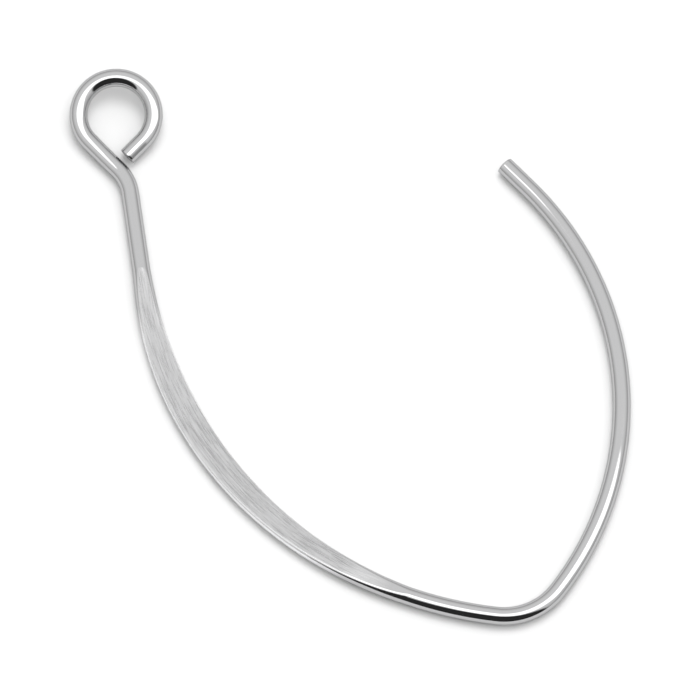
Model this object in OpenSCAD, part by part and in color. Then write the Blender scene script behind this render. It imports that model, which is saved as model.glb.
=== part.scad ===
// Ear wire: one length of round steel wire with an open eye, a curved front that is
// pressed flat for show, a tight bend that hangs in the ear, and a back arc to the tip.
// All but the eye lies level, along the XY plane. The eye is bent up out of that plane.
// The origin is the centre of the eye, in the middle of its thickness, and +Y points
// from there to the middle of the tight bend.

/* [Wire] */
// Diameter of the round wire
wire_d = 0.8; // [0.6:0.05:1.1]
// Bevel round the edge of both cut ends
cut_bevel = 0.04; // [0.01:0.01:0.15]

/* [Eye] */
// Inside diameter of the open eye that a drop hangs from
eye_d = 2.5; // [1.5:0.1:4]
// Angle that the wire turns round the eye
eye_turn = 269; // [250:1:290]
// Gap between the eye's cut end and the line on which the neck leaves the eye
eye_gap = 0.3; // [0.1:0.05:0.5]
// Angle that the eye is rolled up about that line
eye_roll = 9; // [0:1:20]

/* [Neck] */
// Run between the eye and the neck's bend
neck_l = 1.8; // [0.5:0.05:4]
// Angle that this run bends up, out of the wire's plane, on its way to the eye
neck_rise = 7; // [1:1:20]
// Radius of the neck's bend at the middle of the wire
neck_r = 1.95; // [1:0.05:6]
// Angle of the neck's bend, which turns against the eye
neck_turn = 36.5; // [10:0.5:60]

/* [Front] */
// Straight stem between the neck and the front arc
stem_l = 4.4; // [1:0.1:12]
// Radius of the front arc at the middle of the wire
front_r = 17.6; // [10:0.1:40]
// Angle of the front arc
front_turn = 75; // [50:1:90]

/* [Bend and back] */
// Radius of the tight bend at the middle of the wire
bend_r = 2.9; // [1.5:0.1:6]
// Angle of the tight bend
bend_turn = 60; // [30:1:90]
// Radius of the back arc at the middle of the wire
back_r = 14.2; // [8:0.1:30]
// Angle of the back arc
back_turn = 81; // [30:1:95]
// Straight tip at the end of the back arc
tip_l = 1.5; // [0.5:0.1:8]

/* [Pressed front] */
// Round stem between the neck's bend and the start of the pressed stretch
press_start = 3.6; // [0.5:0.1:8]
// Length over which the wire widens, from round to its widest
press_rise_l = 7.6; // [3:0.1:12]
// Length over which it narrows, from its widest to round
press_fall_l = 12.3; // [3:0.1:14]
// Width of the pressed stretch at its widest
press_w = 1.25; // [1.2:0.01:1.5]
// Thickness there
press_t = 0.42; // [0.3:0.01:0.55]
// Width there of the two flat faces, between the rounded sides
face_w = 1.15; // [0.6:0.01:1.18]

/* [Hidden] */

$fn = 64;
wire_r = wire_d / 2;
eye_r = (eye_d + wire_d) / 2;

// The eye's straight tail ends at the gap from the neck. Its line meets the neck's
// line at eye_corner_l from the eye, at the angle eye_turn - 180.
eye_corner_l = eye_r * tan((360 - eye_turn) / 2);
eye_tail_reach = (wire_r * (1 + abs(cos(eye_turn))) + eye_gap) / -sin(eye_turn);
eye_tail_l = eye_corner_l - eye_tail_reach;

// Legs of the wire from the eye's cut end to the tip, as if the eye were level too.
// Each has its length at the middle of the wire and the angle that it turns to the left.
LENGTH = 0;
TURN = 1;
function arc_leg(r, turn) = [r * abs(turn) * PI / 180, turn];
legs = [
    [eye_tail_l, 0],
    arc_leg(eye_r, eye_turn),
    [neck_l, 0],
    arc_leg(neck_r, -neck_turn),
    [stem_l, 0],
    arc_leg(front_r, front_turn),
    arc_leg(bend_r, bend_turn),
    arc_leg(back_r, back_turn),
    [tip_l, 0]
];
EYE = 1;
NECK = 2;
NECK_BEND = 3;
STEM = 4;
BEND = 6;
TIP = len(legs) - 1;

// A place on the wire is [x, y, heading]. This one is d further along a leg.
function leg_radius(leg) = leg[LENGTH] / (abs(leg[TURN]) * PI / 180);
function along(place, leg, d) =
    let (turned = leg[TURN] * d / leg[LENGTH],
         step = leg[TURN] == 0 ? d : 2 * leg_radius(leg) * sin(abs(turned) / 2),
         way = place[2] + turned / 2)
    [place[0] + step * cos(way), place[1] + step * sin(way), place[2] + turned];

// Distance along the wire, and place, at which leg i starts
function leg_from(i) = i == 0 ? 0 : leg_from(i - 1) + legs[i - 1][LENGTH];
function leg_place(i) =
    i == 0 ? [0, 0, 0] : along(leg_place(i - 1), legs[i - 1], legs[i - 1][LENGTH]);

// Place at distance s along the wire
function leg_at(s, i = 0) = i == TIP || s < leg_from(i + 1) ? i : leg_at(s, i + 1);
function place_at(s) = let (i = leg_at(s)) along(leg_place(i), legs[i], s - leg_from(i));

// Point in space that is ahead of a place, to its left and above it
function beside(place, ahead, left, up) =
    [place[0] + ahead * cos(place[2]) - left * sin(place[2]),
     place[1] + ahead * sin(place[2]) + left * cos(place[2]),
     up];

// The run between the eye and the neck's bend rises from its level end along an arc
rise_leg = arc_leg(neck_l / (neck_rise * PI / 180), neck_rise);
rise_r = leg_radius(rise_leg);

// The eye's centre, and the line from it to the middle of the tight bend
eye_centre = beside(
    leg_place(NECK_BEND),
    (eye_r * sin(eye_roll) - rise_r) * sin(neck_rise),
    eye_r * cos(eye_roll),
    rise_r * (1 - cos(neck_rise)) + eye_r * sin(eye_roll) * cos(neck_rise)
);
bend_middle = place_at(leg_from(BEND) + legs[BEND][LENGTH] / 2);
hang_angle = atan2(bend_middle[1] - eye_centre[1], bend_middle[0] - eye_centre[0]);

// Ends and widest place of the pressed stretch, as distances along the wire
press_from = leg_from(STEM) + press_start;
press_peak = press_from + press_rise_l;
press_to = press_peak + press_fall_l;

// How far the wire is pressed at distance s: 0 where it is round, 1 at the widest place
function pressed(s) =
    s <= press_from || s >= press_to ? 0
    : s < press_peak ? sin(90 * (s - press_from) / press_rise_l)
    : sin(90 * (press_to - s) / press_fall_l);

// The dies thin the wire sooner than it widens, by this power of the pressed share
THINS_SOONER = 0.8;

// Half height of the rounded sides' ellipse at the widest place, which is cut off
// by the flat faces so that they are face_w wide
press_side_h = press_t / 2 / sqrt(1 - pow(face_w / press_w, 2));

// Outline of the wire at distance s, with SIDES corners, as [left, up] pairs. The
// sides are ellipse arcs that end where the flat faces cut them. spare makes the
// outline smaller, for the ends that sit inside the round wire.
SIDES = 24;
function section(s, spare = 0) =
    let (share = pressed(s),
         thinned = pow(share, THINS_SOONER),
         half_w = wire_r + (press_w / 2 - wire_r) * share - spare,
         half_t = wire_r + (press_t / 2 - wire_r) * thinned - spare,
         side_h = wire_r + (press_side_h - wire_r) * thinned - spare,
         end_angle = min(asin(half_t / side_h), 90 - 180 / SIDES),
         per_side = SIDES / 2)
    [for (side = [0, 1], k = [0 : per_side - 1])
        let (a = side * 180 - end_angle + 2 * end_angle * k / (per_side - 1))
        [-half_w * cos(a), side_h * sin(a)]];

// Each leg is drawn SEAM short at its joints with its neighbours, and a round core in
// the joint, CORE_SPARE inside the surface, makes them one solid
SEAM = 0.002;
CORE_SPARE = 0.016;

// The pressed stretch is lofted through sections at about this spacing, and its
// round ends sit TUCK deep inside the round wire, SPARE smaller than it all round
RING_STEP = 0.5;
TUCK = 0.15;
SPARE = 0.008;
press_rings = ceil((press_to - press_from) / RING_STEP);
press_sections = concat(
    [[press_from - TUCK, SPARE], [press_from, SPARE]],
    [for (k = [1 : press_rings - 1])
        [press_from + (press_to - press_from) * k / press_rings, 0]],
    [[press_to, SPARE], [press_to + TUCK, SPARE]]
);

// Moves children from the origin, heading +X, to a place on the wire
module at(place) {
    translate([place[0], place[1], 0])
        rotate([0, 0, place[2]])
            children();
}

// Moves children from a place on the wire to the origin, heading +X
module from_place(place) {
    rotate([0, 0, -place[2]])
        translate([-place[0], -place[1], 0])
            children();
}

// Puts what is built on the raw path into the part's frame
module in_frame() {
    rotate([0, 0, 90 - hang_angle])
        translate(-eye_centre)
            children();
}

// Lifts the level eye to the upper end of the run that rises to it, and rolls it there
module lifted() {
    at(leg_place(NECK_BEND))
        translate([-rise_r * sin(neck_rise), 0, rise_r * (1 - cos(neck_rise))])
            rotate([eye_roll, neck_rise, 0])
                from_place(leg_place(NECK))
                    children();
}

// Round wire along +X
module straight_wire(length) {
    rotate([0, 90, 0])
        cylinder(h = length, d = wire_d);
}

// Round wire that starts along +X and turns left, or right where turn is negative
module curved_wire(radius, turn) {
    mirror([0, turn < 0 ? 1 : 0, 0])
        translate([0, radius, 0])
            rotate([0, 0, -90])
                rotate_extrude(angle = abs(turn))
                    translate([radius, 0])
                        circle(d = wire_d);
}

// Round wire along +X to a square cut end, whose edge is bevelled
module cut_wire(length) {
    rotate([0, 90, 0])
        rotate_extrude()
            polygon([
                [0, 0],
                [wire_r, 0],
                [wire_r, length - cut_bevel],
                [wire_r - cut_bevel, length],
                [0, length]
            ]);
}

// Round wire between two distances along a leg that starts at a place
module round_wire(place, leg, from, to) {
    if (to > from + SEAM)
        at(along(place, leg, from))
            if (leg[TURN] == 0)
                straight_wire(to - from);
            else
                curved_wire(leg_radius(leg), leg[TURN] * (to - from) / leg[LENGTH]);
}

// Leg i where it is round, before and after the pressed stretch
module round_leg(i) {
    start = leg_from(i);
    end = legs[i][LENGTH] - SEAM;
    round_wire(leg_place(i), legs[i], SEAM, min(end, press_from - start));
    round_wire(leg_place(i), legs[i], max(SEAM, press_to - start), end);
}

// Core in the joint at the start of leg i
module joint_core(i) {
    at(leg_place(i)) sphere(r = wire_r - CORE_SPARE);
}

// The open eye with its straight tail
module open_eye() {
    at(leg_place(EYE)) rotate([0, 0, 180]) translate([SEAM, 0, 0])
        cut_wire(eye_tail_l - SEAM);
    round_leg(EYE);
    for (i = [EYE, NECK]) joint_core(i);
}

// The run that rises backwards from the start of the neck's bend to the eye
module rising_neck() {
    at(leg_place(NECK_BEND))
        rotate([90, 0, 180])
            round_wire([0, 0, 0], rise_leg, SEAM, neck_l - SEAM);
}

// The stretch that is pressed flat, lofted through its sections
module pressed_wire() {
    points = [for (ring = press_sections)
        let (place = place_at(ring[0]))
        for (point = section(ring[0], ring[1])) beside(place, 0, point[0], point[1])];
    last = len(press_sections) - 1;
    skin = [for (r = [0 : last - 1], k = [0 : SIDES - 1])
        let (a = r * SIDES + k, b = r * SIDES + (k + 1) % SIDES)
        each [[a, b, b + SIDES], [a, b + SIDES, a + SIDES]]];
    start_cap = [for (k = [SIDES - 1 : -1 : 0]) k];
    end_cap = [for (k = [0 : SIDES - 1]) last * SIDES + k];
    polyhedron(points, concat([start_cap], skin, [end_cap]));
}

// The whole wire: the eye, the neck, the stem and the arcs with the pressed stretch
// among them, and the tip
module ear_wire() {
    color([0.74, 0.74, 0.75])
    in_frame() {
        lifted() open_eye();
        rising_neck();
        for (i = [NECK_BEND : TIP - 1]) round_leg(i);
        at(leg_place(TIP)) translate([SEAM, 0, 0])
            cut_wire(tip_l - SEAM);
        pressed_wire();
        for (i = [NECK_BEND : TIP])
            if (leg_from(i) < press_from || leg_from(i) > press_to) joint_core(i);
    }
}

ear_wire();
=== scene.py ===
"""The ear wire lying on a white table in soft studio light, seen as in the photograph."""

import math

import bpy
import numpy as np
from mathutils import Matrix, Vector


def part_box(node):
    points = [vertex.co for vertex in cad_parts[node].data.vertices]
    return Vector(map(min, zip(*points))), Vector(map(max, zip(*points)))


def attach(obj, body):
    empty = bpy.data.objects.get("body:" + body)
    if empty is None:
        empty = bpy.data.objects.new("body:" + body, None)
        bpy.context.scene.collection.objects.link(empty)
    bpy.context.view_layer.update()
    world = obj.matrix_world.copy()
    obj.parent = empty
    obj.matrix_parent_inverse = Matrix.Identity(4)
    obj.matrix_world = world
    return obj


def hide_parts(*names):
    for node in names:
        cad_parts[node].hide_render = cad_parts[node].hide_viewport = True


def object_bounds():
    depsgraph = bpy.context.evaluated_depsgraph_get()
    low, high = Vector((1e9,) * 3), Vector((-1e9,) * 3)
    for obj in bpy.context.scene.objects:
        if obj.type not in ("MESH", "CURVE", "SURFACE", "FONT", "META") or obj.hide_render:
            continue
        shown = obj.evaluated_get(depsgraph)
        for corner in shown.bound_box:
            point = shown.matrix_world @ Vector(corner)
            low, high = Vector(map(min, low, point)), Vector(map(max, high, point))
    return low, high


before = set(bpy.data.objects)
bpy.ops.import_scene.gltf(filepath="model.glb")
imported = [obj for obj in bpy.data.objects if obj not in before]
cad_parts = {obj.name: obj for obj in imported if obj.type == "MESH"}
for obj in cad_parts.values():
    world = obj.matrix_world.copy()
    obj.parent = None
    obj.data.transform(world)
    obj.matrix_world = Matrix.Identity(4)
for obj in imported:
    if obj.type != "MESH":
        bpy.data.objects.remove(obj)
cad_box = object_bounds()

# Sizes of the wire in millimetres, the same as the solid's
MM = 0.001
WIRE_D = 0.8
EYE_D = 2.5
EYE_TURN = 269
EYE_GAP = 0.3
EYE_ROLL = 9
NECK_L = 1.8
NECK_RISE = 7
NECK_R = 1.95
NECK_TURN = 36.5
STEM_L = 4.4
FRONT_R = 17.6
FRONT_TURN = 75
BEND_R = 2.9
BEND_TURN = 60
BACK_R = 14.2
BACK_TURN = 81
TIP_L = 1.5
PRESS_START = 3.6
PRESS_RISE_L = 7.6
PRESS_FALL_L = 12.3
PRESS_W = 1.25
PRESS_T = 0.42
FACE_W = 1.15
THINS_SOONER = 0.8

# Distances in millimetres before the pressing's end between which its faces turn satin, and
# shares of the pressing between which its rounded sides turn satin and take a painted highlight
SATIN_FACES = (0.8, 3.2)
SATIN_SIDES = (0.35, 0.6)

# Edges that the solid leaves sharp or bevelled are rounded here, in millimetres
CUT_ROUNDING = 0.05
CORNER_ROUNDING = 0.05

# Mesh of the wire: corners of its outline, points of the finer line that the outline is
# drawn from, distance between outlines in millimetres, and outlines round the rounded
# edge and across the face of each cut end
SIDES = 80
OUTLINE_SAMPLES = 960
RING_STEP = 0.06
EDGE_RINGS = 6
CUT_RINGS = 4

# Outlines nearer than this to the wire's ends are part of the cut faces, in millimetres
AT_CUT = 1e-6

# Patterns in the steel, each as its density along, across and up through the wire: the
# lines from drawing it, the short lines on the satin faces, and faint clouds
DRAWN_LINES = (0.25, 38.0, 38.0)
GRAIN_LINES = (0.8, 13.0, 2.0)
CLOUDS = (0.9, 2.2, 2.2)

# Values of a pattern between which roughness and tone run through their range
ROUGHNESS_SPAN = (0.3, 0.7)
TONE_SPAN = (0.25, 0.75)

# Roughness of the polished and of the satin steel, from one line to the next, of the cut
# ends, and what the clouds add or take
POLISHED_ROUGHNESS = (0.05, 0.10)
SATIN_ROUGHNESS = (0.24, 0.34)
CUT_ROUGHNESS = 0.34
CLOUD_ROUGHNESS = 0.015

# Depth of the lines, its strength, and how much deeper the grain is
LINE_DEPTH = 0.001 * MM
LINE_STRENGTH = 0.25
GRAIN_DEEPER = 2.0

# How much light the steel gives back: polished, the painted highlight that lightens the
# rounded sides of the pressed stretch, and on the satin faces, from one line to the next.
# Then how much more of blue, and the tint of what it gives back at a glancing angle.
POLISHED_TONE = 0.48
SIDES_PAINTED_BRIGHTER = 0.40
SATIN_TONE = (0.27, 0.51)
BLUER = 1.006
GLANCING_TINT = 0.6

# The table's half width in metres, its grey and its roughness
TABLE_HALF = 2.0
TABLE_GREY = 0.65
TABLE_ROUGHNESS = 0.9

# The camera's direction from the part in degrees, its lens and sensor in millimetres, the
# width that it sees at the part, and the nearest and farthest that it sees, in metres
VIEW_AZIMUTH = 141.35
VIEW_ELEVATION = 72
LENS = 600
SENSOR = 36
SEEN_WIDTH = 30.5 * MM
SEEN_FROM = 0.01
SEEN_TO = 10

# The camera aims this far from the middle of the part, towards itself and to the left
AIM_NEAR = 1.87 * MM
AIM_LEFT = 0.475 * MM

# Each light hangs over the part, at this distance in metres. Its middle leans from the
# zenith by these degrees towards the picture's right and towards the camera, and it
# reaches these half angles, as seen from the part.
LIGHT_DISTANCE = 0.9
SOFTBOX = {"lean_right": 18, "lean_near": 4.2, "half_wide": 41, "half_deep": 17.2}
SOFTBOX_RADIANCE = 1.12
KEY = {"lean_right": 3, "lean_near": -20, "half_wide": 15, "half_deep": 13}
KEY_RADIANCE = 5.2

# Brightness of the pale room at the horizon and at a height from which it stays the same,
# and of its dark opening on the camera's side
ROOM_LOW = 0.62
ROOM_HIGH = 1.16
ROOM_HIGH_FROM = 0.8
ROOM_DARK = 0.04

# The opening's edge: how near the camera's side it begins and is fully dark, and how much
# nearer for each step sideways
OPENING_BEGINS = 0.26
OPENING_DARK = 0.36
OPENING_NARROWS = 0.53

# Brightness of the room as it lights the table, at the zenith, and how much of it moves
# from the camera's side to the far side
ROOM_ON_TABLE = 1.18
ROOM_FROM_FAR = 0.55


def unit(degrees):
    """Unit vector in the plane, at this angle from +X."""
    return np.array([math.cos(math.radians(degrees)), math.sin(math.radians(degrees))])


def turned(across, up, degrees):
    """A point with these coordinates, turned round the origin from the first to the second."""
    cosine, sine = math.cos(math.radians(degrees)), math.sin(math.radians(degrees))
    return across * cosine - up * sine, across * sine + up * cosine


def arc_leg(radius, turn):
    """Length and turn of a bent leg of the wire."""
    return radius * math.radians(abs(turn)), turn


def wire_legs():
    """Legs of the wire from the eye's cut end to the tip, each its length and turn.

    They are those of the level path, before the eye is bent up out of the wire's plane.
    """
    eye_r = (EYE_D + WIRE_D) / 2
    turn = math.radians(EYE_TURN)
    corner = eye_r * math.tan(math.pi - turn / 2)
    reach = (WIRE_D / 2 * (1 + abs(math.cos(turn))) + EYE_GAP) / -math.sin(turn)
    return [
        (corner - reach, 0),
        arc_leg(eye_r, EYE_TURN),
        (NECK_L, 0),
        arc_leg(NECK_R, -NECK_TURN),
        (STEM_L, 0),
        arc_leg(FRONT_R, FRONT_TURN),
        arc_leg(BEND_R, BEND_TURN),
        arc_leg(BACK_R, BACK_TURN),
        (TIP_L, 0),
    ]


# Legs by their place in the list, where each leg starts along the wire, and the radius
# on which the neck rises
NECK_BEND = 3
STEM = 4
BEND = 6
LEGS = wire_legs()
STARTS = [sum(leg[0] for leg in LEGS[:i]) for i in range(len(LEGS) + 1)]
WIRE_L = STARTS[-1]
PRESS_FROM = STARTS[STEM] + PRESS_START
PRESS_PEAK = PRESS_FROM + PRESS_RISE_L
PRESS_TO = PRESS_PEAK + PRESS_FALL_L
RISE_R = NECK_L / math.radians(NECK_RISE)


def along(place, leg, distance):
    """The place (point, heading) that is this far along a leg that starts at a place."""
    length, turn = leg
    turns = turn * distance / length
    step = distance
    if turn:
        step = 2 * length / math.radians(abs(turn)) * math.sin(math.radians(abs(turns)) / 2)
    return place[0] + step * unit(place[1] + turns / 2), place[1] + turns


def raw_places():
    """Places at which the legs start, with the eye's cut end at the origin."""
    places = [(np.zeros(2), 0.0)]
    for leg in LEGS[:-1]:
        places.append(along(places[-1], leg, leg[0]))
    return places


def lifted(points, s, places):
    """Points of the outline at s, where the neck rises to the eye and the eye is rolled."""
    if s >= STARTS[NECK_BEND]:
        return points
    start, heading = places[NECK_BEND]
    forward, sideways = unit(heading), unit(heading + 90)
    level = points[:, :2] - start
    ahead, left, up = level @ forward, level @ sideways, points[:, 2]
    behind = min(STARTS[NECK_BEND] - s, NECK_L)
    rise = NECK_RISE * behind / NECK_L
    left, up = turned(left, up, EYE_ROLL * behind / NECK_L)
    up, ahead = turned(up, ahead + behind, rise)
    ahead = ahead - RISE_R * math.sin(math.radians(rise))
    up = up + RISE_R * (1 - math.cos(math.radians(rise)))
    return np.column_stack([start + np.outer(ahead, forward) + np.outer(left, sideways), up])


def leg_places():
    """Places at which the legs start, in the part's frame, and the eye's height."""
    places = raw_places()
    centre = np.array([[LEGS[0][0], (EYE_D + WIRE_D) / 2, 0.0]])
    *eye, height = lifted(centre, 0.0, places)[0]
    hang = along(places[BEND], LEGS[BEND], LEGS[BEND][0] / 2)[0] - eye
    upright = 90 - math.degrees(math.atan2(hang[1], hang[0]))
    moved = [
        (np.array(turned(*(point - eye), upright)), heading + upright) for point, heading in places
    ]
    return moved, height


LEG_PLACES, EYE_UP = leg_places()


def place_at(s):
    """Point and heading of the wire at distance s from the eye's cut end."""
    i = max(k for k in range(len(LEGS)) if k == 0 or STARTS[k] <= s)
    return along(LEG_PLACES[i], LEGS[i], s - STARTS[i])


def pressed(s):
    """How far the wire is pressed at distance s: 0 where it is round, 1 at its widest."""
    if s <= PRESS_FROM or s >= PRESS_TO:
        return 0.0
    share = (s - PRESS_FROM) / PRESS_RISE_L if s < PRESS_PEAK else (PRESS_TO - s) / PRESS_FALL_L
    return math.sin(math.pi / 2 * share)


def outline(share):
    """Corners (across, up, flat) of the outline where the wire is pressed by a share.

    It is an ellipse cut off by the flat faces, with its four corners rounded. The last
    number is 1 on the flat faces and 0 on the rounded sides.
    """
    wire_r = WIRE_D / 2
    thinned = share ** THINS_SOONER
    side_peak = PRESS_T / 2 / math.sqrt(1 - (FACE_W / PRESS_W) ** 2)
    half_w = wire_r + (PRESS_W / 2 - wire_r) * share
    half_t = wire_r + (PRESS_T / 2 - wire_r) * thinned
    side_h = wire_r + (side_peak - wire_r) * thinned
    angle = 2 * np.pi * np.arange(OUTLINE_SAMPLES) / OUTLINE_SAMPLES
    up = side_h * np.sin(angle)
    flat = (np.abs(up) > half_t).astype(float)
    line = np.column_stack([half_w * np.cos(angle), np.clip(up, -half_t, half_t), flat])
    line = evenly(line, OUTLINE_SAMPLES)
    spread = CORNER_ROUNDING / (perimeter(line) / OUTLINE_SAMPLES)
    steps = np.minimum(np.arange(OUTLINE_SAMPLES), OUTLINE_SAMPLES - np.arange(OUTLINE_SAMPLES))
    kernel = np.exp(-0.5 * (steps / spread) ** 2)
    blur = np.fft.rfft(kernel / kernel.sum())[:, None]
    return evenly(np.fft.irfft(np.fft.rfft(line, axis=0) * blur, OUTLINE_SAMPLES, axis=0), SIDES)


def perimeter(line):
    """Length of a closed line."""
    return np.hypot(*np.diff(line[:, :2], axis=0, append=line[:1, :2]).T).sum()


def evenly(line, count):
    """A closed line's points, spaced evenly along it."""
    closed = np.vstack([line, line[:1]])
    reach = np.concatenate([[0], np.cumsum(np.hypot(*np.diff(closed[:, :2], axis=0).T))])
    at = reach[-1] * np.arange(count) / count
    return np.column_stack([np.interp(at, reach, column) for column in closed.T])


def stations():
    """Distances along the wire at which it has an outline, with the outline's scale."""
    wire_r = WIRE_D / 2
    cut = [(0.0, k / CUT_RINGS * (1 - CUT_ROUNDING / wire_r)) for k in range(1, CUT_RINGS + 1)]
    edge = []
    for k in range(1, EDGE_RINGS + 1):
        angle = math.pi / 2 * k / EDGE_RINGS
        depth = CUT_ROUNDING * (1 - math.cos(angle))
        edge.append((depth, 1 - CUT_ROUNDING * (1 - math.sin(angle)) / wire_r))
    start = cut + edge
    count = math.ceil((WIRE_L - 2 * CUT_ROUNDING) / RING_STEP)
    run = [(s, 1.0) for s in np.linspace(CUT_ROUNDING, WIRE_L - CUT_ROUNDING, count + 1)[1:-1]]
    end = [(WIRE_L - s, scale) for s, scale in reversed(start)]
    return start + run + end


def in_space(s, across, up):
    """Points of the outline at s, in the part's frame. Across is to the wire's right."""
    point, heading = place_at(s)
    level = point - np.outer(across, unit(heading + 90))
    return lifted(np.column_stack([level, up]), s, LEG_PLACES) - [0, 0, EYE_UP]


def wire_mesh():
    """The whole wire as one closed mesh, with its own straightened coordinates."""
    points, places, faces, satins_and_highlights, cuts = [], [], [], [], []
    for s, scale in stations():
        share = pressed(s)
        across, up, flat = outline(share).T
        across, up = across * scale, up * scale
        points.append(in_space(s, across, up))
        places.append(np.column_stack([np.full(SIDES, s), across, up]))
        face = flat * np.interp(PRESS_TO - s, SATIN_FACES, (0, 1))
        faces.append(face)
        # The rounded sides' satin share also places their painted highlight
        satins_and_highlights.append(np.maximum(face, np.interp(share, SATIN_SIDES, (0, 1))))
        cuts.append(np.full(SIDES, float(s < AT_CUT or s > WIRE_L - AT_CUT)))
    rings = len(points)
    for s in (0.0, WIRE_L):
        points.append(in_space(s, np.zeros(1), np.zeros(1)))
        places.append(np.array([[s, 0.0, 0.0]]))
        faces.append(np.zeros(1))
        satins_and_highlights.append(np.zeros(1))
        cuts.append(np.ones(1))
    k = np.arange(SIDES)
    after = (k + 1) % SIDES
    quads = np.concatenate([
        np.column_stack([row + k, row + SIDES + k, row + SIDES + after, row + after])
        for row in SIDES * np.arange(rings - 1)
    ])
    first, last = rings * SIDES, rings * SIDES + 1
    top = (rings - 1) * SIDES
    caps = [(first, a, b) for a, b in zip(k, after)]
    caps += [(last, top + b, top + a) for a, b in zip(k, after)]
    mesh = bpy.data.meshes.new("ear_wire_polished")
    mesh.from_pydata((np.concatenate(points) * MM).tolist(), [], quads.tolist() + caps)
    mesh.validate()
    mesh.shade_smooth()
    for name, kind, key, values in (
        ("wire_place", "FLOAT_VECTOR", "vector", places),
        ("satin_face", "FLOAT", "value", faces),
        ("satin_and_painted_highlight", "FLOAT", "value", satins_and_highlights),
        ("cut_face", "FLOAT", "value", cuts),
    ):
        attribute = mesh.attributes.new(name, kind, "POINT")
        attribute.data.foreach_set(key, np.concatenate(values).astype(np.float32).ravel())
    return mesh


class Nodes:
    """Short calls that add shader nodes and link them."""

    def __init__(self, tree):
        self.tree = tree
        tree.nodes.clear()

    def add(self, kind, inputs=None, **settings):
        """A node with these inputs, by name or number, and settings."""
        node = self.tree.nodes.new("ShaderNode" + kind)
        for key, value in settings.items():
            setattr(node, key, value)
        for key, value in (inputs or {}).items():
            self.feed(node.inputs[key], value)
        return node

    def feed(self, socket, value):
        """Link a socket to another one, or set it to a value."""
        if isinstance(value, bpy.types.NodeSocket):
            self.tree.links.new(value, socket)
        else:
            socket.default_value = value

    def math(self, operation, *values):
        """The result of a Math node."""
        node = self.add("Math", operation=operation)
        for socket, value in zip(node.inputs, values):
            self.feed(socket, value)
        return node.outputs[0]

    def ramp(self, value, low, high, to_low=0.0, to_high=1.0, smooth=True):
        """A value's range from low to high, mapped to another range and held outside it."""
        node = self.add("MapRange", {
            "Value": value,
            "From Min": low,
            "From Max": high,
            "To Min": to_low,
            "To Max": to_high,
        }, interpolation_type="SMOOTHSTEP" if smooth else "LINEAR")
        return node.outputs["Result"]

    def mix(self, share, none, full):
        """One value where the share is 0, the other where it is 1."""
        return self.add("Mix", {"Factor": share, 2: none, 3: full}, data_type="FLOAT").outputs[0]

    def noise(self, place, scale, detail, roughness=0.5):
        """A noise pattern, denser or looser along each axis."""
        moved = self.add("VectorMath", {0: place, 1: scale}, operation="MULTIPLY")
        node = self.add("TexNoise", {
            "Vector": moved.outputs[0], "Scale": 1.0, "Detail": detail, "Roughness": roughness,
        })
        return node.outputs["Fac"]


def steel():
    """Stainless steel: polished round wire, a satin pressed stretch, sheared cut ends."""
    material = bpy.data.materials.new("stainless_steel")
    material.use_nodes = True
    n = Nodes(material.node_tree)
    place = n.add("Attribute", attribute_name="wire_place").outputs["Vector"]
    face = n.add("Attribute", attribute_name="satin_face").outputs["Fac"]
    satin_and_highlight = n.add("Attribute", attribute_name="satin_and_painted_highlight").outputs["Fac"]
    cut = n.add("Attribute", attribute_name="cut_face").outputs["Fac"]

    # Fine lines along the wire, from drawing it, and short ones from finishing the faces
    drawn = n.noise(place, DRAWN_LINES, detail=3.0)
    grain = n.noise(place, GRAIN_LINES, detail=5.0, roughness=0.7)
    cloud = n.noise(place, CLOUDS, detail=3.0)

    polished_rough = n.ramp(drawn, *ROUGHNESS_SPAN, *POLISHED_ROUGHNESS)
    satin_rough = n.ramp(grain, *ROUGHNESS_SPAN, *SATIN_ROUGHNESS)
    rough = n.mix(satin_and_highlight, polished_rough, satin_rough)
    rough = n.math("MAXIMUM", rough, n.math("MULTIPLY", cut, CUT_ROUGHNESS))
    clouded = n.ramp(cloud, *ROUGHNESS_SPAN, -CLOUD_ROUGHNESS, CLOUD_ROUGHNESS)
    rough = n.math("ADD", rough, clouded)

    height = n.math("MULTIPLY", drawn, n.math("SUBTRACT", 1.0, satin_and_highlight))
    deeper = n.math("MULTIPLY", satin_and_highlight, GRAIN_DEEPER)
    height = n.math("ADD", height, n.math("MULTIPLY", grain, deeper))
    bump = n.add("Bump", {"Strength": LINE_STRENGTH, "Distance": LINE_DEPTH, "Height": height})

    # The satin faces give back less light, unevenly from one line of the grain to the next,
    # and the rounded sides of the pressed stretch get a painted highlight that makes them brighter
    tone_with_painted_sides = n.math("ADD", POLISHED_TONE, n.math("MULTIPLY", satin_and_highlight, SIDES_PAINTED_BRIGHTER))
    dulled = n.ramp(grain, *TONE_SPAN, *SATIN_TONE, smooth=False)
    tone = n.mix(face, tone_with_painted_sides, dulled)
    blue = n.math("MULTIPLY", tone, BLUER)
    tint = n.add("CombineColor", {0: tone, 1: tone, 2: blue}).outputs[0]

    shader = n.add("BsdfPrincipled", {
        "Base Color": tint,
        "Specular Tint": (GLANCING_TINT, GLANCING_TINT, GLANCING_TINT, 1.0),
        "Metallic": 1.0,
        "Roughness": rough,
        "Normal": bump.outputs["Normal"],
    })
    n.add("OutputMaterial", {"Surface": shader.outputs[0]})
    return material


def make_wire():
    """The wire, which stands for the solid."""
    wire = bpy.data.objects.new("ear_wire_polished", wire_mesh())
    bpy.context.scene.collection.objects.link(wire)
    wire.data.materials.append(steel())
    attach(wire, "root")
    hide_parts("ear_wire")


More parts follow.
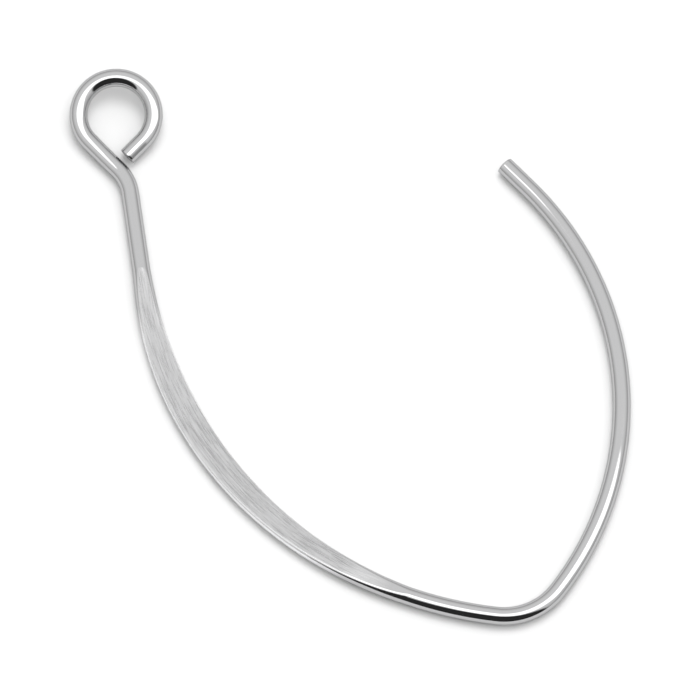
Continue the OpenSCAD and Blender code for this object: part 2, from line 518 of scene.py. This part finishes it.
def make_table():
    """A wide matte white surface that the wire lies on."""
    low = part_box("ear_wire")[0].z
    mesh = bpy.data.meshes.new("table")
    signs = ((-1, -1), (1, -1), (1, 1), (-1, 1))
    corners = [(x * TABLE_HALF, y * TABLE_HALF, low) for x, y in signs]
    mesh.from_pydata(corners, [], [(0, 1, 2, 3)])
    table = bpy.data.objects.new("table", mesh)
    bpy.context.scene.collection.objects.link(table)
    material = bpy.data.materials.new("white_paper")
    material.use_nodes = True
    n = Nodes(material.node_tree)
    shader = n.add("BsdfPrincipled", {
        "Base Color": (TABLE_GREY, TABLE_GREY, TABLE_GREY, 1.0),
        "Roughness": TABLE_ROUGHNESS,
    })
    n.add("OutputMaterial", {"Surface": shader.outputs[0]})
    table.data.materials.append(material)


def camera_way(azimuth, elevation):
    """Unit vector from the part towards a camera: azimuth 0 looks along +Y."""
    a, e = math.radians(azimuth), math.radians(elevation)
    return Vector((math.sin(a) * math.cos(e), -math.cos(a) * math.cos(e), math.sin(e)))


def make_camera(target):
    """A long lens, so the view is nearly without perspective, as in the photograph."""
    data = bpy.data.cameras.new("camera")
    data.lens = LENS
    data.sensor_width = SENSOR
    data.clip_start = SEEN_FROM
    data.clip_end = SEEN_TO
    camera = bpy.data.objects.new("camera", data)
    bpy.context.scene.collection.objects.link(camera)
    back = camera_way(VIEW_AZIMUTH, VIEW_ELEVATION)
    camera.location = target + back * (SEEN_WIDTH * LENS / SENSOR)
    camera.rotation_euler = (-back).to_track_quat("-Z", "Y").to_euler()
    bpy.context.scene.camera = camera


def picture_right():
    """Unit vector along the table towards the picture's right."""
    return Vector((math.cos(math.radians(VIEW_AZIMUTH)), math.sin(math.radians(VIEW_AZIMUTH)), 0))


def make_light(name, target, radiance, lean_right, lean_near, half_wide, half_deep):
    """An oval softbox overhead that faces the part."""
    width = 2 * LIGHT_DISTANCE * math.tan(math.radians(half_wide))
    height = 2 * LIGHT_DISTANCE * math.tan(math.radians(half_deep))
    data = bpy.data.lights.new(name, "AREA")
    data.shape = "ELLIPSE"
    data.size = width
    data.size_y = height
    data.energy = radiance * math.pi * width * height
    light = bpy.data.objects.new(name, data)
    bpy.context.scene.collection.objects.link(light)
    right = picture_right()
    near = camera_way(VIEW_AZIMUTH, 0)
    way = Vector((0, 0, 1)) + right * math.tan(math.radians(lean_right))
    way = (way + near * math.tan(math.radians(lean_near))).normalized()
    across = (right - way * right.dot(way)).normalized()
    light.matrix_world = Matrix((across, way.cross(across), way)).transposed().to_4x4()
    light.location = target + way * LIGHT_DISTANCE
    return light


def make_room():
    """A pale room with a dark opening on the camera's side, plain white to the camera."""
    world = bpy.data.worlds.new("room")
    world.use_nodes = True
    bpy.context.scene.world = world
    n = Nodes(world.node_tree)
    way = n.add("TexCoord").outputs["Generated"]

    def part_along(vector):
        product = n.add("VectorMath", {0: way, 1: tuple(vector)}, operation="DOT_PRODUCT")
        return product.outputs["Value"]

    sideways = n.math("ABSOLUTE", part_along(picture_right()))
    near = part_along(camera_way(VIEW_AZIMUTH, 0))
    pale = n.ramp(part_along((0, 0, 1)), 0.0, ROOM_HIGH_FROM, ROOM_LOW, ROOM_HIGH)
    opening = n.math("SUBTRACT", near, n.math("MULTIPLY", sideways, OPENING_NARROWS))
    radiance = n.mix(n.ramp(opening, OPENING_BEGINS, OPENING_DARK), pale, ROOM_DARK)
    path = n.add("LightPath").outputs
    from_far = n.math("SUBTRACT", 1.0, n.math("MULTIPLY", near, ROOM_FROM_FAR))
    on_table = n.math("MULTIPLY", from_far, ROOM_ON_TABLE)
    lighting = n.mix(path["Is Diffuse Ray"], radiance, on_table)
    room = n.add("Background", {"Color": (1, 1, 1, 1), "Strength": lighting})
    backdrop = n.add("Background", {"Color": (1, 1, 1, 1), "Strength": 1.0})
    seen = n.add("MixShader", {
        0: path["Is Camera Ray"], 1: room.outputs[0], 2: backdrop.outputs[0],
    })
    n.add("OutputWorld", {"Surface": seen.outputs[0]})


make_wire()
make_table()
low, high = cad_box
centre = (low + high) / 2
make_camera(centre + AIM_NEAR * camera_way(VIEW_AZIMUTH, 0) - AIM_LEFT * picture_right())
make_light("softbox", centre, SOFTBOX_RADIANCE, **SOFTBOX)
# The key light only shapes the shadow on the table. It has no reflection in the steel.
make_light("key", centre, KEY_RADIANCE, **KEY).visible_glossy = False
make_room()
bpy.context.scene.view_settings.view_transform = "Standard"
